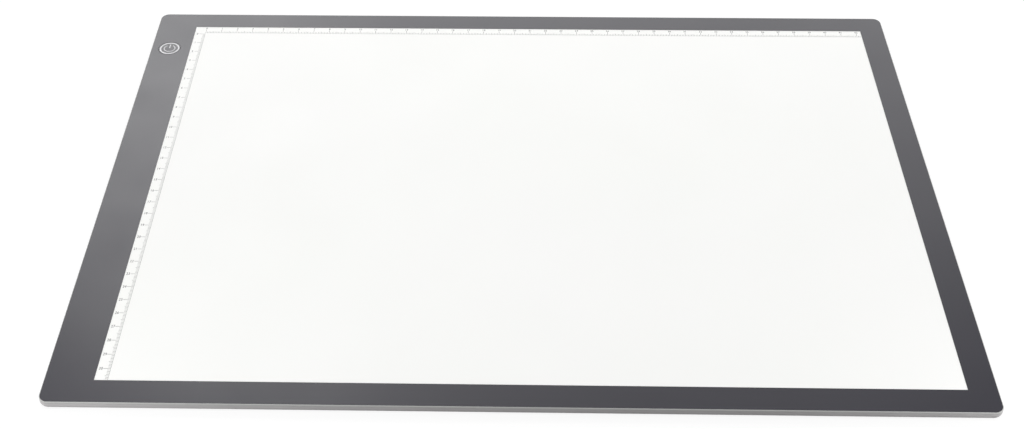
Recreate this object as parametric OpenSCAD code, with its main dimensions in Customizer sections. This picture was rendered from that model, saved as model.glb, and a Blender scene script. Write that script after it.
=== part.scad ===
// Flat tracing pad with an edge-lit panel, in millimetres.
// The origin lies on the table under the middle of the pad: +X right, +Y away from the user, +Z up.

/* [Pad] */
// Width of the whole pad, left to right
pad_w = 470; // [400:1:600]
// Depth of the whole pad, front to back
pad_d = 346; // [300:1:450]
// Radius of the pad's four corners, seen from above
corner_r = 5; // [4:0.5:12]
// Width of the dark border on the left, over the lamps and the control board
border_left = 25; // [24:0.5:40]
// Width of the dark border on the right
border_right = 15; // [12:0.5:30]
// Width of the dark border along the back
border_back = 15; // [12:0.5:30]
// Width of the dark border along the front
border_front = 15; // [12:0.5:30]

/* [Layers from the table up] */
// Height of the rubber feet under the cover
foot_h = 0.5; // [0.5:0.1:3]
// Thickness of the sheet metal back cover
cover_t = 0.5; // [0.5:0.05:0.8]
// Thickness of the white reflector sheet
reflector_t = 0.2; // [0.2:0.05:0.4]
// Thickness of the clear light guide
guide_t = 2.5; // [1.9:0.1:4]
// Thickness of the diffuser sheet
diffuser_t = 0.25; // [0.25:0.05:0.6]
// Thickness of the tape ring between the frame and the panel
tape_t = 0.1; // [0.05:0.05:0.1]
// Thickness of the opal drawing panel
panel_t = 0.9; // [0.8:0.1:3]
// Thickness of the dark border film
film_t = 0.15; // [0.1:0.05:0.4]

/* [Rim] */
// Width of the bevel round the top of the drawing panel
panel_bevel = 0.25; // [0.1:0.05:0.4]
// Distance of the film's edge from the pad's outline
film_inset = 0.4; // [0.3:0.05:1]
// Height of the upright grey band on the frame's outer face
band_h = 1.25; // [0.8:0.05:1.9]
// How far the rim curves in from the band down to the cover's underside
rim_taper = 0.8; // [0.4:0.1:1.6]

/* [Frame] */
// Width of the frame's thin wall beside the lamp bay
wall_w = 3.7; // [2.6:0.1:4]
// Width of the frame's bars at the back, front and right
bar_w = 8; // [7:0.5:10]
// Room between the light guide and the bars
guide_play = 0.3; // [0.1:0.05:0.8]
// Thickness of the foam strips at the light guide's right edge
cushion_t = 1; // [0.5:0.1:2]
// Length of one foam strip
cushion_l = 22; // [10:1:40]
// Length of one hollow moulded into the bars
pocket_l = 26; // [15:1:40]
// Width of the hollows in the bars
pocket_w = 2.6; // [1.5:0.1:3]
// Depth of the hollows in the bars
pocket_depth = 1.2; // [0.5:0.1:1.4]
// Thickness of the ribs between the hollows
pocket_rib = 2; // [1:0.5:6]

/* [Lamps] */
// How far the light guide reaches under the left border
guide_lap = 2.2; // [2:0.1:4]
// Gap between the lamps and the light guide
led_gap = 0.2; // [0.1:0.05:0.5]
// Width of the lamp board
led_board_w = 3.1; // [3:0.1:4]
// Thickness of the lamp board
led_board_t = 0.5; // [0.4:0.1:0.8]
// Distance from lamp to lamp
led_pitch = 6; // [5:0.5:12]
// Length of one lamp along the board
led_l = 3.8; // [2:0.1:4.4]
// Depth of one lamp, across the board
led_depth = 1; // [0.6:0.1:1.2]
// Height of one lamp
led_h = 1; // [0.6:0.05:1.1]
// Depth of the bright window in a lamp's face
led_window = 0.25; // [0.1:0.05:0.4]
// Diameter of the two links between the boards
lead_d = 0.6; // [0.4:0.05:0.8]
// Distance between the two links
lead_pitch = 3; // [2:0.1:4]
// Height of the links above the control board
lead_rise = 0.7; // [0.5:0.05:0.9]
// Distance of the links from the control board's front end
lead_from_front = 6; // [4:0.5:9]

/* [Power key] */
// Diameter of the key's cap
key_d = 13.8; // [10:0.1:14]
// Distance of the key's middle from the pad's back edge
key_from_back = 40; // [36:1:60]
// Clearance round the cap in the panel's hole
key_gap = 0.15; // [0.1:0.05:0.3]
// How far the key goes down
key_travel = 0.35; // [0.25:0.05:0.4]
// Bevel round the top of the cap
key_bevel = 0.15; // [0.05:0.05:0.3]
// How far the cap's top lies below the film's face
key_sink = 0.03; // [0.02:0.01:0.1]
// How far the two retaining wings reach beyond the hole
wing_reach = 1.4; // [0.8:0.1:2]
// Width of the wings
wing_w = 9; // [6:0.5:9.5]
// Thickness of the wings
wing_t = 0.4; // [0.3:0.05:0.4]
// Play between the wings and the panel's underside
wing_play = 0.05; // [0.03:0.01:0.1]
// Diameter of the post under the cap
post_d = 4; // [2:0.1:6]
// Diameter of the snap dome
dome_d = 8.4; // [6:0.1:9]
// Height of the snap dome when the key is down
dome_low = 0.25; // [0.2:0.05:0.3]
// Thickness of the snap dome's metal
dome_t = 0.12; // [0.08:0.02:0.2]

/* [Control board] */
// Thickness of the control board
board_t = 0.8; // [0.6:0.05:0.8]
// How far the control board reaches in front of the key
board_reach = 44; // [40:1:70]
// Clearance round the control board
board_gap = 0.4; // [0.3:0.05:0.6]
// Thickness of the insulating sheet under the control board
insulator_t = 0.1; // [0.05:0.05:0.1]
// Length of the driver chip's body
chip_l = 4.9; // [3:0.1:6]
// Width of the driver chip's body
chip_w = 3.9; // [3:0.1:5]
// Height of the driver chip above the board
chip_h = 1.2; // [0.8:0.1:1.3]
// Side of the square inductor
inductor_w = 5; // [3:0.1:6]
// Height of the inductor
inductor_h = 1.2; // [0.8:0.1:1.3]
// Length of one capacitor
capacitor_l = 3.2; // [2:0.1:4]
// Width of one capacitor
capacitor_w = 1.6; // [0.8:0.1:2]
// Height of one capacitor
capacitor_h = 1.1; // [0.6:0.1:1.3]
// Distance of the driver chip in front of the key
chip_ahead = 17; // [15:0.5:19]
// Distance of the inductor in front of the key
inductor_ahead = 27; // [25:0.5:30]
// Distance of the first capacitor behind the key
capacitor_behind = 13; // [12:0.5:14]
// Distance from capacitor to capacitor
capacitor_step = 3; // [2.5:0.1:3.5]

/* [Power socket] */
// Width of the socket's shell
socket_w = 7.5; // [7:0.1:8]
// Height of the socket's shell
socket_h = 2.2; // [2.1:0.05:2.2]
// Length of the socket's shell
socket_l = 5.6; // [5:0.1:7]
// Wall thickness of the shell
socket_wall = 0.2; // [0.15:0.05:0.25]
// How far the lower corners of the shell are cut in
socket_slant = 1; // [0.6:0.1:1.3]
// Distance of the mouth from the pad's back edge
socket_recess = 0.3; // [0.1:0.1:0.8]
// Clearance round the shell in the frame and the board
socket_gap = 0.2; // [0.1:0.05:0.3]
// Width of the tongue inside the socket
tongue_w = 3.8; // [3.6:0.1:4.2]
// Thickness of the tongue
tongue_t = 0.55; // [0.4:0.05:0.6]
// Number of contacts on the tongue
contact_n = 5; // [3:1:5]
// Distance from contact to contact
contact_pitch = 0.65; // [0.55:0.05:0.7]
// Width of one contact
contact_w = 0.35; // [0.25:0.05:0.4]
// Thickness of one contact
contact_t = 0.15; // [0.1:0.05:0.2]

/* [Screws and feet] */
// Diameter of the screws' thread
screw_d = 1.9; // [1.7:0.1:2]
// Diameter of the countersunk heads
screw_head_d = 2.9; // [2.7:0.1:3]
// Length of the screws with their heads
screw_l = 2; // [1.6:0.1:2]
// Clearance round the screws
screw_gap = 0.05; // [0.03:0.01:0.1]
// Distance of the outer screws from the pad's sides
screw_inset = 30; // [28:1:60]
// Distance of the side screws from the control board's front end
side_screw_gap = 14; // [8:1:30]
// Diameter of the bosses for the left screws
boss_d = 5.4; // [4.5:0.1:6]
// Arm length of the cross in the screw heads
cross_l = 1.5; // [1.2:0.1:1.7]
// Arm width of the cross in the screw heads
cross_w = 0.4; // [0.3:0.05:0.5]
// Depth of the cross in the screw heads
cross_depth = 0.28; // [0.2:0.04:0.32]
// Diameter of the feet
foot_d = 14; // [8:0.5:18]
// Radius of the feet's lower rim
foot_r = 0.3; // [0.1:0.05:0.45]
// Distance of the feet's middles from the pad's edges
foot_inset = 13.5; // [12:0.5:20]

/* [Hidden] */
$fn = 64;
// Overlap that makes cuts go right through
cut = 1;

// Heights of the layers
cover_z = foot_h;
floor_z = cover_z + cover_t;
guide_z = floor_z + reflector_t;
diffuser_z = guide_z + guide_t;
panel_z = diffuser_z + diffuser_t;
film_z = panel_z + panel_t;
pad_h = film_z + film_t;
frame_top = panel_z - tape_t;
frame_h = frame_top - floor_z;
taper_top = frame_top - band_h;

// Lit window in the film
window_x0 = -pad_w / 2 + border_left;
window_x1 = pad_w / 2 - border_right;
window_y0 = -pad_d / 2 + border_front;
window_y1 = pad_d / 2 - border_back;

// Light guide and the sheets on both sides of it
guide_x0 = window_x0 - guide_lap;
guide_x1 = pad_w / 2 - bar_w - cushion_t;
guide_d = pad_d - 2 * (bar_w + guide_play);

// Lamp board and lamps
led_face_x = guide_x0 - led_gap;
led_board_x0 = led_face_x - led_board_w;
led_board_z1 = floor_z + led_board_t;
led_n = floor((guide_d - 2 * led_l) / led_pitch) + 1;

// Lamp bay between the frame's left wall and the lamp board
bay_x0 = -pad_w / 2 + wall_w;
bay_y1 = pad_d / 2 - wall_w;

// Key, in the middle of the bay
key_x = (bay_x0 + led_board_x0) / 2;
key_y = pad_d / 2 - key_from_back;
hole_d = key_d + 2 * key_gap;
key_top = pad_h - key_sink;
wing_z1 = panel_z - wing_play;
wing_z0 = wing_z1 - wing_t;

// Control board
board_x0 = bay_x0 + board_gap;
board_x1 = led_board_x0 - board_gap;
board_y0 = key_y - board_reach;
board_y1 = bay_y1 - board_gap;
board_z = floor_z + insulator_t;
board_top = board_z + board_t;
dome_h = dome_low + key_travel;
dome_top = board_top + dome_h;
dome_play = 0.03;

// Parts on the control board
chip_y = key_y - chip_ahead;
inductor_y = key_y - inductor_ahead;
capacitor_y = key_y + capacitor_behind;
capacitor_n = 3;
lead_y = board_y0 + lead_from_front;

// Power socket
socket_y1 = pad_d / 2 - socket_recess;
socket_y0 = socket_y1 - socket_l;
socket_lift = 0.02;
socket_z0 = floor_z + socket_lift;
contact_tail = 1.5;
contact_back = 0.4;
contact_y0 = socket_y0 - contact_tail;
tongue_back = 1.2;
tongue_y1 = socket_y1 - tongue_back;
contact_y1 = tongue_y1 - contact_back;
tongue_z0 = board_top + contact_t;
tongue_base_l = 1.4;
tongue_play = 0.03;
ear_w = 1.2;
ear_l = 1.5;
ear_t = 0.3;

// Screws in the cover: along the back and front bars, then down both sides
side_screw_y = board_y0 - side_screw_gap;
boss_stand = 1;
bar_screw_x = pad_w / 2 - screw_inset;
bar_screw_y = pad_d / 2 - bar_w / 2;
boss_x = bay_x0 + boss_d / 2 + boss_stand;
screw_spots = concat(
    [for (sy = [-1, 1], t = [-1, -1/3, 1/3, 1]) [t * bar_screw_x, sy * bar_screw_y]],
    [for (sy = [-1, 1]) [boss_x, sy * side_screw_y]],
    [for (sy = [-1, 1]) [pad_w / 2 - bar_w / 2, sy * side_screw_y]]
);

// A box between two opposite corners
module box(a, b) {
    translate(a) cube(b - a);
}

// A rectangle with round corners, about the origin
module rounded_rect(w, d, r) {
    square([w - 2 * r, d], center = true);
    square([w, d - 2 * r], center = true);
    for (sx = [-1, 1], sy = [-1, 1])
        translate([sx * (w / 2 - r), sy * (d / 2 - r)])
            circle(r);
}

// The pad's outline, moved in by some distance, as a plate
module outline_plate(z, t, inset = 0) {
    translate([0, 0, z])
        linear_extrude(t)
            rounded_rect(pad_w - 2 * inset, pad_d - 2 * inset, corner_r - inset);
}

// Carries a profile round the pad's outline: its x runs in from the outline, its y is the height
module around_outline() {
    for (side = [0 : 3]) {
        along = side % 2 == 0 ? pad_w : pad_d;
        across = side % 2 == 0 ? pad_d : pad_w;
        rotate(90 * side) {
            translate([-along / 2 + corner_r, -across / 2, 0])
                rotate([90, 0, 90])
                    linear_extrude(along - 2 * corner_r)
                        children();
            translate([along / 2 - corner_r, -across / 2 + corner_r, 0])
                rotate(-90)
                    rotate_extrude(angle = 90)
                        translate([corner_r, 0])
                            mirror([1, 0])
                                children();
        }
    }
}

// What the rim's rounded underside takes away from the frame and the cover:
// an arc from the upright band down to the cover, whose end chords run on past both
module rim_curve() {
    drop = taper_top - cover_z;
    rim_r = (pow(drop, 2) + pow(rim_taper, 2)) / (2 * rim_taper);
    sweep = asin(drop / rim_r);
    steps = 6;
    arc = [
        for (i = [0 : steps])
            [rim_r * (1 - cos(i * sweep / steps)), taper_top - rim_r * sin(i * sweep / steps)]
    ];
    above = 2 * arc[0] - arc[1];
    below = 2 * arc[steps] - arc[steps - 1];
    around_outline()
        polygon(concat([above], arc, [below, [above[0], below[1]]]));
}

// A hole on the key's axis
module key_hole(z, t) {
    translate([key_x, key_y, z - cut])
        cylinder(d = hole_d, h = t + 2 * cut);
}

module border_film() {
    color("#2c2c2f")
        difference() {
            outline_plate(film_z, film_t, film_inset);
            box([window_x0, window_y0, film_z - cut], [window_x1, window_y1, pad_h + cut]);
            key_hole(film_z, film_t);
        }
}

module front_panel() {
    color("#f4f4f0")
        difference() {
            outline_plate(panel_z, panel_t);
            around_outline()
                polygon([
                    [-cut, film_z - panel_bevel - cut],
                    [panel_bevel + cut, film_z + cut],
                    [-cut, film_z + cut]
                ]);
            key_hole(panel_z, panel_t);
        }
}

// Cap with a bevelled top, two wings that hold it under the panel, and a post over the dome
module power_key() {
    color("#343437")
        translate([key_x, key_y, 0]) {
            translate([0, 0, wing_z1])
                cylinder(d = key_d, h = key_top - key_bevel - wing_z1);
            translate([0, 0, key_top - key_bevel])
                cylinder(d1 = key_d, d2 = key_d - 2 * key_bevel, h = key_bevel);
            translate([0, 0, wing_z0])
                linear_extrude(wing_t)
                    intersection() {
                        circle(d = hole_d + 2 * wing_reach);
                        square([wing_w, hole_d + 2 * wing_reach + cut], center = true);
                    }
            translate([0, 0, dome_top + dome_play])
                cylinder(d = post_d, h = wing_z0 + wing_t / 2 - dome_top - dome_play);
        }
}

module panel_tape() {
    tape_in = 0.6;
    color("#dcdcd6")
        difference() {
            outline_plate(frame_top, tape_t, tape_in);
            translate([0, 0, frame_top - cut])
                linear_extrude(tape_t + 2 * cut)
                    rounded_rect(pad_w - 2 * wall_w, pad_d - 2 * wall_w, corner_r / 2);
        }
}

// A sheet of the light guide's outline
module guide_sheet(z, t) {
    box([guide_x0, -guide_d / 2, z], [guide_x1, guide_d / 2, z + t]);
}

module diffuser_sheet() {
    color("#f7f7f4")
        guide_sheet(diffuser_z, diffuser_t);
}

module light_guide_plate() {
    color("#dfeaf0")
        guide_sheet(guide_z, guide_t);
}

module reflector_sheet() {
    color("#fafafa")
        guide_sheet(floor_z, reflector_t);
}

module guide_cushions() {
    cushion_top = 0.3;
    color("#3a3a3a")
        for (t = [-1, 0, 1])
            translate([guide_x1, t * guide_d / 3 - cushion_l / 2, guide_z])
                cube([cushion_t, cushion_l, guide_t - cushion_top]);
}

// A row of hollows along a bar, as many as fit between two ends
module pocket_row(x0, x1) {
    n = floor((x1 - x0 + pocket_rib) / (pocket_l + pocket_rib));
    start = (x0 + x1 - n * (pocket_l + pocket_rib) + pocket_rib) / 2;
    for (i = [0 : 1 : n - 1])
        translate([start + i * (pocket_l + pocket_rib), -pocket_w / 2, frame_top - pocket_depth])
            cube([pocket_l, pocket_w, pocket_depth + cut]);
}

module mid_frame() {
    screw_room = 3;
    pocket_in = bar_w - 1 - pocket_w / 2;
    color("#b9b8b8") {
        difference() {
            outline_plate(floor_z, frame_h);
            rim_curve();
            box(
                [bay_x0, -pad_d / 2 + bar_w, floor_z - cut],
                [pad_w / 2 - bar_w, pad_d / 2 - bar_w, frame_top + cut]
            );
            box([bay_x0, -bay_y1, floor_z - cut], [led_face_x, bay_y1, frame_top + cut]);
            box(
                [key_x - socket_w / 2 - socket_gap, bay_y1 - cut, floor_z - cut],
                [key_x + socket_w / 2 + socket_gap, pad_d / 2 + cut, frame_top + cut]
            );
            for (side = [0, 180])
                rotate(side)
                    for (t = [-1, -1/3, 1/3])
                        translate([0, -pad_d / 2 + pocket_in, 0])
                            pocket_row(
                                t * bar_screw_x + screw_room,
                                (t + 2/3) * bar_screw_x - screw_room
                            );
            translate([pad_w / 2 - pocket_in, 0, 0])
                rotate(90)
                    pocket_row(-side_screw_y + screw_room, side_screw_y - screw_room);
            screw_holes(screw_spots);
        }
        difference() {
            for (sy = [-1, 1])
                translate([0, sy * side_screw_y, floor_z]) {
                    translate([boss_x, 0, 0])
                        cylinder(d = boss_d, h = frame_h);
                    translate([bay_x0 - wall_w / 4, -boss_d / 2, 0])
                        cube([boss_x - bay_x0 + wall_w / 4, boss_d, frame_h]);
                }
            screw_holes(screw_spots);
        }
    }
}

// Blind holes in the frame for the screws
module screw_holes(spots) {
    end_room = 0.1;
    for (p = spots)
        translate([p[0], p[1], floor_z - cut])
            cylinder(d = screw_d + 2 * screw_gap, h = screw_l - cover_t + end_room + cut);
}

module back_cover() {
    color("#c9c9c8")
        difference() {
            outline_plate(cover_z, cover_t);
            rim_curve();
            for (p = screw_spots)
                translate([p[0], p[1], cover_z]) {
                    cylinder(
                        d1 = screw_head_d + 2 * screw_gap,
                        d2 = screw_d + 2 * screw_gap,
                        h = cover_t
                    );
                    cylinder(d = screw_d + 2 * screw_gap, h = 2 * cover_t);
                }
        }
}

module cover_screws() {
    color("#9b9ba0")
        for (p = screw_spots)
            translate([p[0], p[1], cover_z])
                difference() {
                    union() {
                        cylinder(d1 = screw_head_d, d2 = screw_d, h = cover_t);
                        translate([0, 0, cover_t / 2])
                            cylinder(d = screw_d, h = screw_l - cover_t / 2);
                    }
                    for (turn = [0, 90])
                        rotate(turn)
                            cube([cross_l, cross_w, 2 * cross_depth], center = true);
                }
}

module rubber_feet() {
    color("#242426")
        for (sx = [-1, 1], sy = [-1, 1])
            translate([sx * (pad_w / 2 - foot_inset), sy * (pad_d / 2 - foot_inset), 0])
                rotate_extrude() {
                    square([foot_d / 2 - foot_r, foot_h]);
                    translate([0, foot_r])
                        square([foot_d / 2, foot_h - foot_r]);
                    intersection() {
                        translate([foot_d / 2 - foot_r, foot_r])
                            circle(foot_r);
                        square([foot_d / 2, foot_r]);
                    }
                }
}

module led_board() {
    color("#f2f2ee")
        box([led_board_x0, -guide_d / 2, floor_z], [led_face_x, guide_d / 2, led_board_z1]);
}

// Height along the board of one lamp, counted from the front
function led_y(i) = (i - (led_n - 1) / 2) * led_pitch;

module leds() {
    window_l = led_l - 0.8;
    window_h = led_h - 0.4;
    color("#f3ecc8")
        for (i = [0 : led_n - 1])
            translate([led_face_x, led_y(i), led_board_z1])
                difference() {
                    translate([-led_depth, -led_l / 2, 0])
                        cube([led_depth, led_l, led_h]);
                    translate([-led_window, -window_l / 2, (led_h - window_h) / 2])
                        cube([led_window + cut, window_l, window_h]);
                }
}

module led_resistors() {
    resistor_w = 0.8;
    resistor_l = 1.6;
    resistor_h = 0.45;
    color("#26262a")
        for (i = [1 : 3 : led_n - 1])
            if (abs(led_y(i) - lead_y) > lead_pitch / 2 + resistor_l)
                translate([led_board_x0 + (led_board_w - led_depth) / 2, led_y(i), led_board_z1])
                    translate([-resistor_w / 2, -resistor_l / 2, 0])
                        cube([resistor_w, resistor_l, resistor_h]);
}

// Two links from the control board over to the lamp board, clear of the resistors
module led_leads() {
    lead_in = 0.9;
    lead_x0 = board_x1 - lead_in;
    lead_x1 = led_board_x0 + lead_in;
    lead_z = board_top + lead_rise;
    color("#b3322c")
        for (s = [-1, 1])
            translate([0, lead_y + s * lead_pitch / 2, 0]) {
                translate([lead_x0, 0, board_top])
                    cylinder(d = lead_d, h = lead_z - board_top);
                translate([lead_x1, 0, led_board_z1])
                    cylinder(d = lead_d, h = lead_z - led_board_z1);
                translate([lead_x0, 0, lead_z])
                    rotate([0, 90, 0])
                        cylinder(d = lead_d, h = lead_x1 - lead_x0);
                for (x = [lead_x0, lead_x1])
                    translate([x, 0, lead_z])
                        sphere(d = lead_d);
            }
}

module control_board() {
    color("#2f6b46")
        difference() {
            box([board_x0, board_y0, board_z], [board_x1, board_y1, board_top]);
            box(
                [key_x - socket_w / 2 - socket_gap, socket_y0 - socket_gap, board_z - cut],
                [key_x + socket_w / 2 + socket_gap, board_y1 + cut, board_top + cut]
            );
        }
}

module board_insulator() {
    color("#d8c27a")
        box(
            [board_x0, board_y0, floor_z],
            [board_x1, socket_y0 - socket_gap, floor_z + insulator_t]
        );
}

module driver_chip() {
    lead_n = 4;
    lead_pitch = chip_l / (lead_n + 0.1);
    lead_w = 0.4;
    lead_l = 1;
    lead_t = 0.2;
    stand = 0.1;
    color("#232326")
        translate([key_x, chip_y, board_top]) {
            translate([-chip_w / 2, -chip_l / 2, stand])
                cube([chip_w, chip_l, chip_h - stand]);
            for (sx = [-1, 1], i = [0 : lead_n - 1])
                translate([
                    sx * (chip_w / 2 + lead_l / 2 - lead_t),
                    (i - (lead_n - 1) / 2) * lead_pitch,
                    lead_t / 2
                ])
                    cube([lead_l, lead_w, lead_t], center = true);
        }
}

module power_inductor() {
    groove = 0.3;
    rim = 0.3;
    color("#3b3c40")
        translate([key_x, inductor_y, board_top])
            difference() {
                translate([-inductor_w / 2, -inductor_w / 2, 0])
                    cube([inductor_w, inductor_w, inductor_h]);
                translate([0, 0, inductor_h - groove])
                    difference() {
                        cylinder(d = inductor_w - 2 * rim, h = groove + cut);
                        translate([0, 0, -cut])
                            cylinder(d = inductor_w - 6 * rim, h = groove + 3 * cut);
                    }
            }
}

module board_capacitors() {
    color("#b59b7a")
        for (i = [0 : capacitor_n - 1])
            translate([key_x - capacitor_l / 2, capacitor_y + i * capacitor_step, board_top])
                cube([capacitor_l, capacitor_w, capacitor_h]);
}

// Shallow cap of a hollow ball, standing on the board
module snap_dome() {
    ball_r = (pow(dome_d / 2, 2) + pow(dome_h, 2)) / (2 * dome_h);
    color("#c6c8cc")
        translate([key_x, key_y, board_top])
            rotate_extrude()
                intersection() {
                    translate([0, dome_h - ball_r])
                        difference() {
                            circle(ball_r, $fn = 720);
                            circle(ball_r - dome_t, $fn = 720);
                        }
                    square([dome_d, dome_h + cut]);
                }
}

// The socket's outline with its lower corners cut in, made smaller all round by the inset
module socket_outline(inset) {
    w = socket_w / 2 - inset;
    low = inset;
    high = socket_h - inset;
    polygon([
        [-w, high], [-w, low + socket_slant], [-w + socket_slant, low],
        [w - socket_slant, low], [w, low + socket_slant], [w, high]
    ]);
}

module socket_shell() {
    color("#c9cacd")
        translate([key_x, 0, 0]) {
            translate([0, socket_y1, socket_z0])
                rotate([90, 0, 0])
                    linear_extrude(socket_l)
                        difference() {
                            socket_outline(0);
                            socket_outline(socket_wall);
                        }
            for (sx = [-1, 1])
                translate([
                    sx * (socket_w / 2 + ear_w / 2 - socket_wall / 4),
                    socket_y0 + ear_l / 2 + socket_gap,
                    board_top + ear_t / 2
                ])
                    cube([ear_w + socket_wall / 2, ear_l, ear_t], center = true);
        }
}

// Base that fills the shell's back end above the contacts, and the tongue that stands out of it
module socket_tongue() {
    color("#1f1f21") {
        translate([key_x, socket_y0 + tongue_base_l, socket_z0])
            rotate([90, 0, 0])
                linear_extrude(tongue_base_l)
                    intersection() {
                        socket_outline(socket_wall + tongue_play);
                        translate([-socket_w / 2, tongue_z0 - socket_z0])
                            square([socket_w, socket_h]);
                    }
        box(
            [key_x - tongue_w / 2, socket_y0, tongue_z0],
            [key_x + tongue_w / 2, tongue_y1, tongue_z0 + tongue_t]
        );
    }
}

module socket_contacts() {
    color("#d2b466")
        for (i = [0 : contact_n - 1])
            translate([key_x + (i - (contact_n - 1) / 2) * contact_pitch, contact_y0, board_top])
                translate([-contact_w / 2, 0, 0])
                    cube([contact_w, contact_y1 - contact_y0, contact_t]);
}

border_film();
front_panel();
power_key();
panel_tape();
diffuser_sheet();
light_guide_plate();
reflector_sheet();
guide_cushions();
mid_frame();
back_cover();
cover_screws();
rubber_feet();
led_board();
leds();
led_resistors();
led_leads();
control_board();
board_insulator();
driver_chip();
power_inductor();
board_capacitors();
snap_dome();
socket_shell();
socket_tongue();
socket_contacts();
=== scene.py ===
import bpy
import bmesh
import math
from mathutils import Matrix, Vector


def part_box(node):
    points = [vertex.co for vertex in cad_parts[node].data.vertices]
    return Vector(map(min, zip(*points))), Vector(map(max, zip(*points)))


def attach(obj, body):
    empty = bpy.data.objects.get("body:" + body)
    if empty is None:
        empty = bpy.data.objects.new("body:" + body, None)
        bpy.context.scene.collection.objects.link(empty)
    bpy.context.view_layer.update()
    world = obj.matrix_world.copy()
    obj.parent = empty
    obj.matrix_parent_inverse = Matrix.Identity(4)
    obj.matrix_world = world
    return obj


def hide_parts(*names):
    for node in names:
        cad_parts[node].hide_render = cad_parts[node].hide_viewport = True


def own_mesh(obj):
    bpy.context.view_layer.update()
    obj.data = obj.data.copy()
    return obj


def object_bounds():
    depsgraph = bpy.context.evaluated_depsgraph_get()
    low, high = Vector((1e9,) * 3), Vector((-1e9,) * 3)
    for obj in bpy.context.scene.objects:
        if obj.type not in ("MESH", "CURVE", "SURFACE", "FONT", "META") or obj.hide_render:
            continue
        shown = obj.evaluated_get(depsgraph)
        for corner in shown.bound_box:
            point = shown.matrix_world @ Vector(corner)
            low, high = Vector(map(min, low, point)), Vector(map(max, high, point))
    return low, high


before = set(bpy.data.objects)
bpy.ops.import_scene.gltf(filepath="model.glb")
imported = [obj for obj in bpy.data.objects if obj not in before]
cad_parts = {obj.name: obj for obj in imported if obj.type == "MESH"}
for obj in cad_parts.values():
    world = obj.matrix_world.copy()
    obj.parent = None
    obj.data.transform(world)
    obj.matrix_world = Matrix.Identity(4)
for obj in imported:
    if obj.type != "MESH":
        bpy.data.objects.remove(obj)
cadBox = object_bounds()
mm = 0.001          # a millimetre in metres
cm = 10             # a centimetre in millimetres
seam = 0.0005       # points closer than this are one, in millimetres
scene = bpy.context.scene
scene.view_settings.view_transform = "Standard"
print("frame loaded,", len(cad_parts), "nodes")

# camera, fitted to the border's edges and the printed scales
cameraView = {
    "focalPx": 1567.8,              # focal length in pixels of the image
    "imageWide": 1024,
    "imageHigh": 429,
    "axisPx": (478.65, 182.97),     # where the lens axis meets the image
    "elevation": 39.08,             # angles in degrees
    "azimuth": 1.542,
    "roll": -0.475,
    "distance": 894.06,             # from the target, in millimetres
    "target": (-22.885, -0.783),    # on the film's face, in millimetres
    "sensor": 36,                   # in millimetres
    "nearest": 10,                  # nearest thing that shows, in millimetres
}


def addCamera(s):
    el = math.radians(s["elevation"])
    az = math.radians(s["azimuth"])
    roll = math.radians(s["roll"])
    back = Vector((math.sin(az) * math.cos(el), -math.cos(az) * math.cos(el), math.sin(el)))
    level = Vector((0, 0, 1)).cross(back).normalized()
    turned = Matrix((level, back.cross(level), back)).transposed() @ Matrix.Rotation(roll, 3, "Z")
    data = bpy.data.cameras.new("photoCamera")
    data.sensor_fit = "HORIZONTAL"
    data.sensor_width = s["sensor"]
    data.lens = s["focalPx"] / s["imageWide"] * data.sensor_width
    data.shift_x = 0.5 - s["axisPx"][0] / s["imageWide"]
    data.shift_y = (s["axisPx"][1] - s["imageHigh"] / 2) / s["imageWide"]
    data.clip_start = s["nearest"] * mm
    cam = bpy.data.objects.new("photoCamera", data)
    target = Vector((*s["target"], cadBox[1][2] / mm))
    cam.matrix_world = Matrix.Translation((target + back * s["distance"]) * mm) @ turned.to_4x4()
    scene.collection.objects.link(cam)
    scene.camera = cam


addCamera(cameraView)
print("camera placed")


# node helpers
def newMaterial(name):
    m = bpy.data.materials.new(name)
    m.use_nodes = True
    tree = m.node_tree
    tree.nodes.clear()
    out = tree.nodes.new("ShaderNodeOutputMaterial")
    bsdf = tree.nodes.new("ShaderNodeBsdfPrincipled")
    tree.links.new(bsdf.outputs["BSDF"], out.inputs["Surface"])
    return m, tree, bsdf


def noiseAt(tree, coord, scale, detail):
    n = tree.nodes.new("ShaderNodeTexNoise")
    n.inputs["Scale"].default_value = scale
    n.inputs["Detail"].default_value = detail
    tree.links.new(coord, n.inputs["Vector"])
    return n.outputs["Fac"]


# carries a value from start and end, by default a noise's usual reach, to low and high
def spread(tree, value, low, high, start=0.3, end=0.7):
    r = tree.nodes.new("ShaderNodeMapRange")
    r.inputs["From Min"].default_value = start
    r.inputs["From Max"].default_value = end
    r.inputs["To Min"].default_value = low
    r.inputs["To Max"].default_value = high
    tree.links.new(value, r.inputs["Value"])
    return r.outputs["Result"]


def blendColour(tree, value, a, b):
    mix = tree.nodes.new("ShaderNodeMix")
    mix.data_type = "RGBA"
    mix.inputs[6].default_value = (*a, 1)       # the two colour sockets
    mix.inputs[7].default_value = (*b, 1)
    tree.links.new(value, mix.inputs[0])
    return mix.outputs[2]


def sums(tree, kind, a, b=0):
    n = tree.nodes.new("ShaderNodeMath")
    n.operation = kind
    for socket, value in zip(n.inputs, (a, b)):
        if isinstance(value, (int, float)):
            socket.default_value = value
        else:
            tree.links.new(value, socket)
    return n.outputs[0]


# what a finish has where its own settings don't say
usualFinish = {
    "drift": 30, "smudge": 55,                                  # noise scales
    "driftDetail": 4, "smudgeDetail": 5, "grainDetail": 2,
    "metal": 0, "ior": 1.5, "shine": 0.5, "clear": 0,
}


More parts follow.
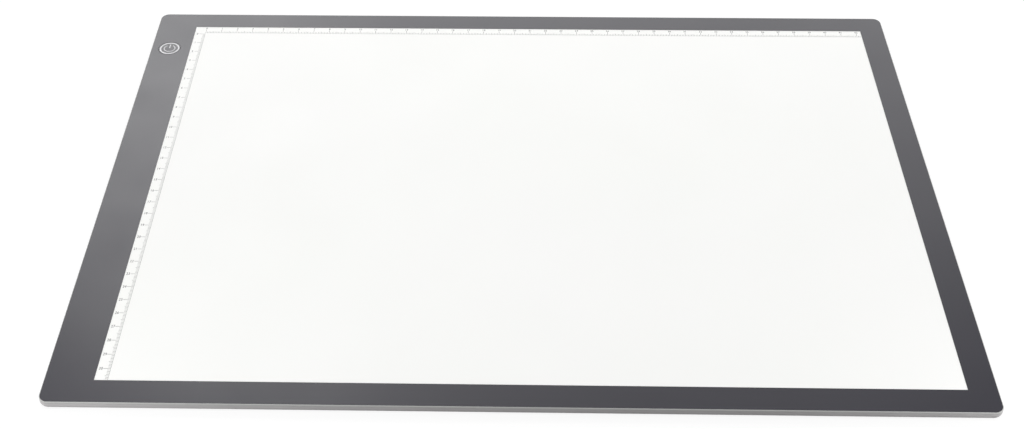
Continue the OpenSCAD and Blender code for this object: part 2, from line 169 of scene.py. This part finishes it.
# a tint that drifts between two colours, uneven gloss and a fine grain
def makeFinish(name, settings):
    s = {**usualFinish, **settings}
    m, tree, bsdf = newMaterial(name)
    coord = tree.nodes.new("ShaderNodeTexCoord").outputs["Object"]
    drift = noiseAt(tree, coord, s["drift"], s["driftDetail"])
    tint = blendColour(tree, spread(tree, drift, 0, 1), s["dark"], s["light"])
    tree.links.new(tint, bsdf.inputs["Base Color"])
    gloss = noiseAt(tree, coord, s["smudge"], s["smudgeDetail"])
    tree.links.new(spread(tree, gloss, *s["rough"]), bsdf.inputs["Roughness"])
    bump = tree.nodes.new("ShaderNodeBump")
    bump.inputs["Strength"].default_value = s["bump"]
    bump.inputs["Distance"].default_value = s["depth"] * mm     # depth is in millimetres
    tree.links.new(noiseAt(tree, coord, s["grain"], s["grainDetail"]), bump.inputs["Height"])
    tree.links.new(bump.outputs["Normal"], bsdf.inputs["Normal"])
    bsdf.inputs["Metallic"].default_value = s["metal"]
    bsdf.inputs["IOR"].default_value = s["ior"]
    bsdf.inputs["Specular IOR Level"].default_value = s["shine"]
    bsdf.inputs["Transmission Weight"].default_value = s["clear"]
    return m, tree, bsdf, coord


def dress(node, finish):
    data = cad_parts[node].data
    data.materials.clear()
    data.materials.append(finish)


# opal sheet, lit from behind over the light guide and dark past its edges
opalPanel = {
    "dark": (0.535, 0.54, 0.525), "light": (0.55, 0.55, 0.545), "drift": 6,
    "rough": (0.52, 0.62), "smudge": 18, "shine": 0.12,
    "grain": 3800, "bump": 0.2, "depth": 0.003,
    "glow": 0.4, "glowColour": (1, 1, 0.985),
    "fade": 9.0,            # from the guide's edge to no light, in millimetres
}


def dressPanel(s):
    m, tree, bsdf, coord = makeFinish("opalPanelFinish", s)
    low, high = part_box("light_guide_plate")
    axes = tree.nodes.new("ShaderNodeSeparateXYZ")
    tree.links.new(coord, axes.inputs["Vector"])
    lit = []
    for axis in (0, 1):
        middle = (low[axis] + high[axis]) / 2
        reach = high[axis] - middle
        off = sums(tree, "ABSOLUTE", sums(tree, "SUBTRACT", axes.outputs[axis], middle))
        lit.append(spread(tree, off, 1, 0, reach, reach + s["fade"] * mm))
    glow = sums(tree, "MULTIPLY", lit[0], lit[1])
    bsdf.inputs["Emission Color"].default_value = (*s["glowColour"], 1)
    tree.links.new(sums(tree, "MULTIPLY", glow, s["glow"]), bsdf.inputs["Emission Strength"])
    dress("front_panel", m)


dressPanel(opalPanel)
print("panel lit")

# the other finishes, by node
plainFinishes = {
    "border_film": {
        "dark": (0.0074, 0.0064, 0.0142), "light": (0.0096, 0.0084, 0.0172), "drift": 14,
        "rough": (0.28, 0.34), "smudge": 22, "ior": 1.33,
        "grain": 5200, "bump": 0.35, "depth": 0.004,
    },
    "power_key": {
        "dark": (0.0076, 0.0067, 0.0146), "light": (0.0098, 0.0088, 0.0176), "drift": 60,
        "rough": (0.27, 0.33), "smudge": 120, "ior": 1.33,
        "grain": 5200, "bump": 0.35, "depth": 0.004,
    },
    "mid_frame": {
        "dark": (0.53, 0.515, 0.52), "light": (0.59, 0.575, 0.58), "drift": 40,
        "rough": (0.36, 0.48), "shine": 0.2, "grain": 2600, "bump": 0.4, "depth": 0.006,
    },
    "back_cover": {
        "dark": (0.55, 0.55, 0.545), "light": (0.6, 0.6, 0.595), "drift": 12,
        "rough": (0.42, 0.55), "grain": 1500, "bump": 0.45, "depth": 0.012,
    },
    "cover_screws": {
        "dark": (0.42, 0.42, 0.43), "light": (0.58, 0.58, 0.59), "drift": 600, "metal": 1,
        "rough": (0.24, 0.4), "smudge": 900, "grain": 2400, "bump": 0.25, "depth": 0.008,
    },
    "rubber_feet": {
        "dark": (0.018, 0.018, 0.019), "light": (0.03, 0.03, 0.031), "drift": 120,
        "rough": (0.62, 0.8), "grain": 2200, "bump": 0.5, "depth": 0.015,
    },
    "panel_tape": {
        "dark": (0.66, 0.66, 0.62), "light": (0.74, 0.74, 0.7),
        "rough": (0.5, 0.65), "grain": 1800, "bump": 0.3, "depth": 0.01,
    },
    "diffuser_sheet": {
        "dark": (0.84, 0.84, 0.82), "light": (0.9, 0.9, 0.88),
        "rough": (0.5, 0.62), "grain": 2600, "bump": 0.3, "depth": 0.005,
    },
    "light_guide_plate": {
        "dark": (0.86, 0.9, 0.92), "light": (0.9, 0.94, 0.95), "clear": 0.9, "ior": 1.49,
        "rough": (0.04, 0.09), "grain": 900, "bump": 0.05, "depth": 0.005,
    },
    "reflector_sheet": {
        "dark": (0.88, 0.88, 0.88), "light": (0.93, 0.93, 0.93),
        "rough": (0.4, 0.55), "grain": 2000, "bump": 0.2, "depth": 0.005,
    },
    "guide_cushions": {
        "dark": (0.02, 0.02, 0.02), "light": (0.05, 0.05, 0.05),
        "rough": (0.8, 0.95), "grain": 3200, "bump": 0.8, "depth": 0.06,
    },
    "led_board": {
        "dark": (0.78, 0.78, 0.75), "light": (0.86, 0.86, 0.83),
        "rough": (0.3, 0.42), "grain": 1800, "bump": 0.15, "depth": 0.005,
    },
    "leds": {
        "dark": (0.85, 0.78, 0.42), "light": (0.92, 0.87, 0.6), "drift": 900,
        "rough": (0.25, 0.4), "grain": 1400, "bump": 0.1, "depth": 0.005,
    },
    "led_resistors": {
        "dark": (0.02, 0.02, 0.024), "light": (0.04, 0.04, 0.045), "drift": 500,
        "rough": (0.3, 0.45), "grain": 2500, "bump": 0.2, "depth": 0.005,
    },
    "led_leads": {
        "dark": (0.5, 0.04, 0.035), "light": (0.62, 0.07, 0.055), "drift": 200,
        "rough": (0.35, 0.5), "grain": 1600, "bump": 0.2, "depth": 0.006,
    },
    "control_board": {
        "dark": (0.025, 0.15, 0.06), "light": (0.045, 0.22, 0.09), "drift": 150,
        "rough": (0.3, 0.45), "grain": 1200, "bump": 0.25, "depth": 0.01,
    },
    "board_insulator": {
        "dark": (0.62, 0.46, 0.12), "light": (0.72, 0.56, 0.18), "drift": 80,
        "rough": (0.25, 0.35), "grain": 800, "bump": 0.15, "depth": 0.006,
    },
    "driver_chip": {
        "dark": (0.016, 0.016, 0.018), "light": (0.026, 0.026, 0.028), "drift": 400,
        "rough": (0.5, 0.62), "grain": 3000, "bump": 0.35, "depth": 0.006,
    },
    "power_inductor": {
        "dark": (0.045, 0.045, 0.05), "light": (0.075, 0.075, 0.08), "drift": 400,
        "rough": (0.55, 0.7), "grain": 2200, "bump": 0.4, "depth": 0.01,
    },
    "board_capacitors": {
        "dark": (0.4, 0.29, 0.17), "light": (0.52, 0.4, 0.26), "drift": 500,
        "rough": (0.35, 0.5), "grain": 2000, "bump": 0.2, "depth": 0.005,
    },
    "snap_dome": {
        "dark": (0.58, 0.58, 0.6), "light": (0.72, 0.72, 0.74), "drift": 300, "metal": 1,
        "rough": (0.18, 0.3), "grain": 1500, "bump": 0.15, "depth": 0.004,
    },
    "socket_shell": {
        "dark": (0.6, 0.6, 0.62), "light": (0.74, 0.74, 0.76), "drift": 400, "metal": 1,
        "rough": (0.2, 0.34), "grain": 1600, "bump": 0.2, "depth": 0.005,
    },
    "socket_tongue": {
        "dark": (0.012, 0.012, 0.013), "light": (0.022, 0.022, 0.024), "drift": 400,
        "rough": (0.4, 0.5), "grain": 2400, "bump": 0.2, "depth": 0.004,
    },
    "socket_contacts": {
        "dark": (0.7, 0.5, 0.18), "light": (0.85, 0.66, 0.28), "drift": 600, "metal": 1,
        "rough": (0.18, 0.3), "grain": 1800, "bump": 0.1, "depth": 0.003,
    },
}

for node, settings in plainFinishes.items():
    dress(node, makeFinish(node + "Finish", settings)[0])
print("finishes on", len(plainFinishes) + 1, "nodes")


# a finished mesh becomes a piece at the origin
def addPiece(name, bm, finish, body):
    bmesh.ops.scale(bm, vec=(mm, mm, mm), verts=bm.verts)
    mesh = bpy.data.meshes.new(name)
    bm.to_mesh(mesh)
    bm.free()
    mesh.materials.append(finish)
    obj = bpy.data.objects.new(name, mesh)
    scene.collection.objects.link(obj)
    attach(obj, body)
    return obj


# gives flat faces the thickness of a coat of ink
def thicken(bm, high):
    up = bmesh.ops.extrude_face_region(bm, geom=bm.faces[:])
    top = [g for g in up["geom"] if isinstance(g, bmesh.types.BMVert)]
    bmesh.ops.translate(bm, vec=(0, 0, high), verts=top)
    bmesh.ops.recalc_face_normals(bm, faces=bm.faces)


# a unit square, stretched to the stroke and put in its place
def addStroke(bm, x0, x1, y0, y1, z):
    place = Matrix.Translation(((x0 + x1) / 2, (y0 + y1) / 2, z))
    bmesh.ops.create_grid(bm, x_segments=1, y_segments=1, size=0.5,
                          matrix=place @ Matrix.Diagonal((x1 - x0, y1 - y0, 1, 1)))


# printed scales on the drawing panel, in millimetres
scalePrint = {
    "borderLeft": 25.0, "border": 15.0,     # the dark border's widths round the window
    "fromLeft": 6.8, "fromBack": 6.7,       # base lines, in from the window's edges
    "zeroAcross": 7.0, "zeroDown": 8.0,     # noughts, in from the window's left and back edges
    "tick": 1.5, "halfTick": 2.0, "longTick": 3.8,
    "tickWide": 0.25, "lineWide": 0.13,
    "figureHigh": 1.8, "figureSqueeze": 0.75, "figureOut": 5.0,
    "fontHigh": 0.69,                       # how high the font's figures are, in parts of its size
    "figureGap": 1.08,                      # spacing of figures, in parts of the font's own
    "figureSteps": 3,                       # pieces of each curve in an outline
    "figureBold": 0.05,                     # how far each outline grows
    "leastEdge": 0.08,                      # shorter edges are merged first, so that none folds
    "lastAcross": 42, "lastDown": 30,       # highest numbers, in centimetres
    "inkHigh": 0.012, "lift": 0.002,        # lift keeps the ink off the face below
    "dark": (0.19, 0.19, 0.19), "light": (0.25, 0.25, 0.25), "drift": 300,
    "rough": (0.45, 0.6), "grain": 4000, "bump": 0.1, "depth": 0.002,
}


# the window's edges and the height of the print
def printArea(s):
    low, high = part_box("front_panel")
    return {
        "left": low[0] / mm + s["borderLeft"], "right": high[0] / mm - s["border"],
        "front": low[1] / mm + s["border"], "back": high[1] / mm - s["border"],
        "face": high[2] / mm + s["lift"],
    }


# i counts millimetres from the nought
def tickLength(s, i):
    if i % cm == 0:
        return s["longTick"]
    return s["halfTick"] if i % (cm // 2) == 0 else s["tick"]


def addTicks(s, ink):
    area = printArea(s)
    x0, y0 = area["left"] + s["fromLeft"], area["back"] - s["fromBack"]
    z = area["face"]
    line = s["lineWide"] / 2
    half = s["tickWide"] / 2
    bm = bmesh.new()
    addStroke(bm, x0 - line, area["right"], y0 - line, y0 + line, z)
    addStroke(bm, x0 - line, x0 + line, area["front"], y0 - line, z)
    zero = area["left"] + s["zeroAcross"]
    for i in range(int(area["right"] - zero) + 1):
        addStroke(bm, zero + i - half, zero + i + half, y0 + line, y0 + tickLength(s, i), z)
    zero = area["back"] - s["zeroDown"]
    for i in range(int(zero - area["front"]) + 1):
        addStroke(bm, x0 - tickLength(s, i), x0 - line, zero - i - half, zero - i + half, z)
    thicken(bm, s["inkHigh"])
    addPiece("scaleTicks", bm, ink, "pad")


# a number as flat figures about its own middle
def figureMesh(number, s):
    curve = bpy.data.curves.new("figure", "FONT")
    curve.body = str(number)
    curve.size = s["figureHigh"] / s["fontHigh"]
    curve.align_x = "CENTER"
    curve.align_y = "CENTER"
    curve.resolution_u = s["figureSteps"]
    curve.space_character = s["figureGap"]
    obj = bpy.data.objects.new("figure", curve)
    scene.collection.objects.link(obj)
    bpy.context.view_layer.update()
    mesh = bpy.data.meshes.new_from_object(obj.evaluated_get(bpy.context.evaluated_depsgraph_get()))
    bpy.data.objects.remove(obj)
    bpy.data.curves.remove(curve)
    return mesh


# moves the outline of flat faces outwards
def embolden(bm, grow):
    sides = {}
    for edge in bm.edges:
        if edge.is_boundary:
            a, b = edge.verts
            out = (b.co - a.co).cross(Vector((0, 0, 1))).normalized()
            if out.dot(edge.link_faces[0].calc_center_median() - a.co) > 0:
                out.negate()
            for vert in (a, b):
                sides.setdefault(vert, []).append(out)
    for vert, (a, b) in sides.items():
        vert.co += grow * (a + b) / (1 + a.dot(b))      # mitre of its two sides


def addFigures(s, ink):
    area = printArea(s)
    left, back = area["left"], area["back"]
    row = back - s["fromBack"] + s["figureOut"]
    column = left + s["fromLeft"] - s["figureOut"]
    spots = [(n, left + s["zeroAcross"] + cm * n, row) for n in range(s["lastAcross"] + 1)]
    spots += [(n, column, back - s["zeroDown"] - cm * n) for n in range(s["lastDown"] + 1)]
    squeeze = Matrix.Diagonal((s["figureSqueeze"], 1, 1, 1))
    bm = bmesh.new()
    for number, x, y in spots:
        mesh = figureMesh(number, s)
        mesh.transform(Matrix.Translation((x, y, area["face"])) @ squeeze)
        bm.from_mesh(mesh)
        bpy.data.meshes.remove(mesh)
    bmesh.ops.remove_doubles(bm, verts=bm.verts, dist=s["leastEdge"])
    embolden(bm, s["figureBold"])
    thicken(bm, s["inkHigh"])
    addPiece("scaleFigures", bm, ink, "pad")


scaleInk = makeFinish("scaleInkFinish", scalePrint)[0]
addTicks(scalePrint, scaleInk)
addFigures(scalePrint, scaleInk)
print("scales printed")

# ring and power sign on the key, in millimetres from the key's middle
keyPrint = {
    "ringOuter": 6.29, "ringWide": 0.98, "ringSteps": 96,
    "signOuter": 3.7, "signWide": 0.55, "signSteps": 64,
    "signGap": 64,                          # in degrees
    "barWide": 0.58, "barLow": 0.2, "barHigh": 4.3,
    "inkHigh": 0.012, "lift": 0.002,        # lift keeps the ink off the face below
    "dark": (0.5, 0.5, 0.515), "light": (0.58, 0.58, 0.595), "drift": 400,
    "rough": (0.4, 0.55), "grain": 3500, "bump": 0.15, "depth": 0.002,
}


# a flat band swept round the middle
def addBand(bm, inner, outer, start, turn, steps):
    ends = [bm.verts.new((r * math.cos(start), r * math.sin(start), 0)) for r in (inner, outer)]
    edge = bm.edges.new(ends)
    bmesh.ops.spin(bm, geom=[*ends, edge], cent=(0, 0, 0), axis=(0, 0, 1),
                   angle=turn, steps=steps, use_merge=math.isclose(turn, 2 * math.pi))


def addKeySign(s):
    low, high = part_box("power_key")
    gap = math.radians(s["signGap"])
    bm = bmesh.new()
    addBand(bm, s["ringOuter"] - s["ringWide"], s["ringOuter"],
            0, 2 * math.pi, s["ringSteps"])
    addBand(bm, s["signOuter"] - s["signWide"], s["signOuter"],
            (math.pi + gap) / 2, 2 * math.pi - gap, s["signSteps"])
    addStroke(bm, -s["barWide"] / 2, s["barWide"] / 2, s["barLow"], s["barHigh"], 0)
    bmesh.ops.remove_doubles(bm, verts=bm.verts, dist=seam)
    thicken(bm, s["inkHigh"])
    middle = [(low[i] + high[i]) / 2 / mm for i in (0, 1)]
    bmesh.ops.translate(bm, vec=(*middle, high[2] / mm + s["lift"]), verts=bm.verts)
    addPiece("keySign", bm, makeFinish("keyInkFinish", s)[0], "power_key")


addKeySign(keyPrint)
print("key marked")

# sprung steel dome under the key, which the key flattens when pressed; here it is built in its rest
# shape
pressDome = {
    "metalThick": 0.12,     # in millimetres
    "rings": 8, "steps": 64,
}


def addDome(s):
    low, high = [Vector(corner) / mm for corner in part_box("snap_dome")]
    middle = (low + high) / 2
    tall = high.z - low.z
    ball = ((high.x - low.x) ** 2 / 4 + tall ** 2) / (2 * tall)
    bm = bmesh.new()
    profile = []
    for radius, way in ((ball, 1), (ball - s["metalThick"], -1)):
        edge = math.acos((ball - tall) / radius)
        turns = [edge * i / s["rings"] for i in range(s["rings"] + 1)]
        for a in turns[::way]:
            up = radius * math.cos(a) - ball + tall
            profile.append(bm.verts.new((radius * math.sin(a), 0, up)))
    edges = [bm.edges.new(pair) for pair in zip(profile, profile[1:])]
    bmesh.ops.spin(bm, geom=[*profile, *edges], cent=(0, 0, 0), axis=(0, 0, 1),
                   angle=2 * math.pi, steps=s["steps"], use_merge=True)
    bmesh.ops.remove_doubles(bm, verts=bm.verts, dist=seam)
    bmesh.ops.recalc_face_normals(bm, faces=bm.faces)
    bmesh.ops.translate(bm, vec=(middle.x, middle.y, low.z), verts=bm.verts)
    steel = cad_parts["snap_dome"].data.materials[0]
    dome = addPiece("pressDome", bm, steel, "pad")
    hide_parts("snap_dome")
    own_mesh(dome)


addDome(pressDome)
print("dome sprung")

# floor and surround that show white, and soft lamps, in metres
studio = {
    "floorTint": 0.18, "floorRough": 0.9,
    "floorSize": 6,         # half its width
    "floorLift": 0.86,      # light of its own, only where it is looked at
    "world": 0.25,          # the surround's light on things; it shows as 1
    # name, radiance, width and height, place, aim
    "lamps": [
        ("backWall", 1.0, (3.2, 1.4), (0, 1.6, 0.68), (0, 0, 0.68)),
        ("tallLeft", 2.45, (0.5, 2.1), (-0.45, 1.5, 1.1), (-0.15, 0, 1.1)),
        ("tallMiddle", 2.15, (0.5, 2.1), (0.05, 1.55, 1.1), (0, 0, 1.1)),
        ("tallRight", 1.65, (0.6, 2.1), (0.62, 1.5, 1.1), (0.15, 0, 1.1)),
        ("leftWide", 5.1, (0.7, 0.8), (-0.72, 1.5, 1.3), (-0.72, 0, 1.3)),
        ("leftHigh", 2.9, (0.5, 0.7), (-0.5, 1.5, 1.8), (-0.5, 0, 1.8)),
        ("overhead", 0.7, (2.0, 1.8), (0, -0.5, 2.0), (0, -0.1, 0)),
        ("frontRight", 0.8, (0.5, 0.4), (0.55, -0.75, 0.7), (0.2, -0.17, 0)),
        ("rightSide", 1.2, (0.8, 0.8), (1.2, 0.05, 0.7), (0.1, 0, 0)),
    ],
    # small lamps for the rim, which leave no glare on the film
    "rimLamps": [
        ("lowLeft", 8.4, (0.2, 0.12), (-0.38, -0.38, 0.11), (-0.2, -0.17, 0)),
        ("lowRight", 5.8, (0.1, 0.06), (0.32, -0.25, 0.06), (0.23, -0.17, 0)),
    ],
}


# 1 where the camera, a reflection or a clear piece looks at the surroundings
def raysThatSee(tree):
    path = tree.nodes.new("ShaderNodeLightPath").outputs
    mirrored = sums(tree, "MAXIMUM", path["Is Glossy Ray"], path["Is Transmission Ray"])
    return sums(tree, "MAXIMUM", path["Is Camera Ray"], mirrored)


def addFloor(s):
    bm = bmesh.new()
    bmesh.ops.create_grid(bm, x_segments=1, y_segments=1, size=s["floorSize"])
    mesh = bpy.data.meshes.new("tableTop")
    bm.to_mesh(mesh)
    bm.free()
    m, tree, bsdf = newMaterial("tableTopFinish")
    bsdf.inputs["Base Color"].default_value = (s["floorTint"], s["floorTint"], s["floorTint"], 1)
    bsdf.inputs["Roughness"].default_value = s["floorRough"]
    bsdf.inputs["Specular IOR Level"].default_value = 0
    bsdf.inputs["Emission Color"].default_value = (1, 1, 1, 1)
    lift = sums(tree, "MULTIPLY", raysThatSee(tree), s["floorLift"])
    tree.links.new(lift, bsdf.inputs["Emission Strength"])
    mesh.materials.append(m)
    obj = bpy.data.objects.new("tableTop", mesh)
    scene.collection.objects.link(obj)


def addWorld(s):
    world = bpy.data.worlds.new("studioWorld")
    scene.world = world
    world.use_nodes = True
    tree = world.node_tree
    tree.nodes.clear()
    out = tree.nodes.new("ShaderNodeOutputWorld")
    sky = tree.nodes.new("ShaderNodeBackground")
    sky.inputs["Color"].default_value = (1, 1, 1, 1)
    tree.links.new(spread(tree, raysThatSee(tree), s["world"], 1, 0, 1), sky.inputs["Strength"])
    tree.links.new(sky.outputs["Background"], out.inputs["Surface"])


def addLamps(lamps, mirrored):
    for name, bright, size, place, aim in lamps:
        data = bpy.data.lights.new(name, "AREA")
        data.shape = "RECTANGLE"
        data.size, data.size_y = size
        data.energy = bright * math.pi * size[0] * size[1]
        lamp = bpy.data.objects.new(name, data)
        lamp.location = place
        lamp.rotation_euler = (Vector(aim) - Vector(place)).to_track_quat("-Z", "Y").to_euler()
        lamp.visible_camera = False
        lamp.visible_glossy = mirrored
        scene.collection.objects.link(lamp)


addFloor(studio)
addWorld(studio)
addLamps(studio["lamps"], True)
addLamps(studio["rimLamps"], False)
print("studio lit")
